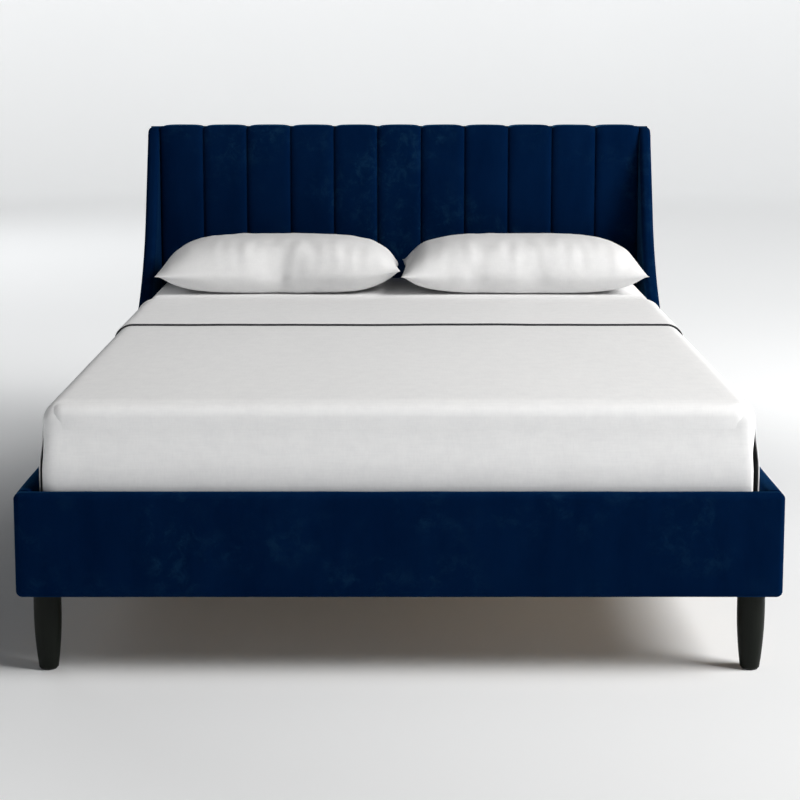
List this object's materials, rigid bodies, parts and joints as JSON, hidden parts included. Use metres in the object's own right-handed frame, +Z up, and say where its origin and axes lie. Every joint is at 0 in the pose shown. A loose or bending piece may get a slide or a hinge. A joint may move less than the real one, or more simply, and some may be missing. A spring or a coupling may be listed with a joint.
{
  "type": "upholstered headboard bed",
  "caption": "Queen platform bed with a channelled velvet headboard, swept wings, padded rails, tapered feet, slats, and a made-up mattress with pillows.",
  "frame": {"origin": "on the floor at the middle of the bed's width and length", "axes": "+Z up, +Y from the foot to the headboard, +X to the right as seen from the foot"},
  "size_m": [1.65, 2.185, 1.085],
  "materials": {
    "navy_velvet": "matte",
    "back_cloth": "matte",
    "plywood": "matte",
    "pine": "matte",
    "birch_slats": "matte",
    "webbing": "matte",
    "dark_wood": "satin",
    "glide_plastic": "matte",
    "black_steel": "satin",
    "zinc_steel": "satin",
    "ticking": "matte",
    "white_sheet": "matte",
    "white_coverlet": "matte",
    "pillowcase_cotton": "matte",
    "pillow_ticking": "matte"
  },
  "bodies": {
    "frame": {"beam_hangers": "black_steel", "centre_beam": "pine", "centre_leg_front": "black_steel", "centre_leg_rear": "black_steel", "channel_pad_01": "navy_velvet", "channel_pad_02": "navy_velvet", "channel_pad_03": "navy_velvet", "channel_pad_04": "navy_velvet", "channel_pad_05": "navy_velvet", "channel_pad_06": "navy_velvet", "channel_pad_07": "navy_velvet", "channel_pad_08": "navy_velvet", "channel_pad_09": "navy_velvet", "channel_pad_10": "navy_velvet", "channel_pad_11": "navy_velvet", "corner_blocks": "pine", "corner_bolts": "zinc_steel", "foot_batten": "pine", "foot_front_left": "dark_wood", "foot_front_right": "dark_wood", "foot_glides": "glide_plastic", "foot_plates": "zinc_steel", "foot_rear_left": "dark_wood", "foot_rear_right": "dark_wood", "footboard_core": "pine", "footboard_cover": "navy_velvet", "hanger_bolts": "zinc_steel", "head_batten": "pine", "headboard_back_cover": "back_cloth", "headboard_lower_rail": "pine", "headboard_middle_rail": "pine", "headboard_panel": "plywood", "headboard_post_left": "pine", "headboard_post_right": "pine", "headboard_top_rail": "pine", "side_rail_core_left": "pine", "side_rail_core_right": "pine", "side_rail_cover_left": "navy_velvet", "side_rail_cover_right": "navy_velvet", "slat_cleat_left": "pine", "slat_cleat_right": "pine", "slat_straps": "webbing", "slats": "birch_slats", "wing_bolts": "zinc_steel", "wing_core_left": "plywood", "wing_core_right": "plywood", "wing_cover_left": "navy_velvet", "wing_cover_right": "navy_velvet"},
    "mattress": {"mattress": "ticking", "fitted_sheet": "white_sheet", "coverlet": "white_coverlet", "top_sheet": "white_sheet"},
    "pillow_left": {"pillow_insert_left": "pillow_ticking", "pillowcase_left": "pillowcase_cotton"},
    "pillow_right": {"pillow_insert_right": "pillow_ticking", "pillowcase_right": "pillowcase_cotton"},
    "levelling_pad_front": {"levelling_pad_front": "glide_plastic"},
    "levelling_screw_front": {"levelling_screw_front": "zinc_steel"},
    "levelling_pad_rear": {"levelling_pad_rear": "glide_plastic"},
    "levelling_screw_rear": {"levelling_screw_rear": "zinc_steel"}
  },
  "joints": [
    {"name": "mattress_lift", "type": "slide", "parent": "frame", "child": "mattress", "axis": [0, 0, 1], "range_m": [0, 0.3]},
    {"name": "pillow_left_lift", "type": "slide", "parent": "mattress", "child": "pillow_left", "axis": [0, 0, 1], "range_m": [0, 0.3]},
    {"name": "pillow_right_lift", "type": "slide", "parent": "mattress", "child": "pillow_right", "axis": [0, 0, 1], "range_m": [0, 0.3]},
    {"name": "levelling_front_rise", "type": "slide", "parent": "frame", "child": "levelling_pad_front", "axis": [0, 0, 1], "range_m": [0, 0.012]},
    {"name": "levelling_front_turn", "type": "hinge", "parent": "levelling_pad_front", "child": "levelling_screw_front", "pos_m": [0, -0.34, 0], "axis": [0, 0, 1], "range_deg": [0, 2880]},
    {"name": "levelling_rear_rise", "type": "slide", "parent": "frame", "child": "levelling_pad_rear", "axis": [0, 0, 1], "range_m": [0, 0.012]},
    {"name": "levelling_rear_turn", "type": "hinge", "parent": "levelling_pad_rear", "child": "levelling_screw_rear", "pos_m": [0, 0.34, 0], "axis": [0, 0, 1], "range_deg": [0, 2880]}
  ],
  "couplings": [
    {"joint": "levelling_front_rise", "follows": "levelling_front_turn", "m_per_rad": 0.0002387},
    {"joint": "levelling_rear_rise", "follows": "levelling_rear_turn", "m_per_rad": 0.0002387}
  ]
}
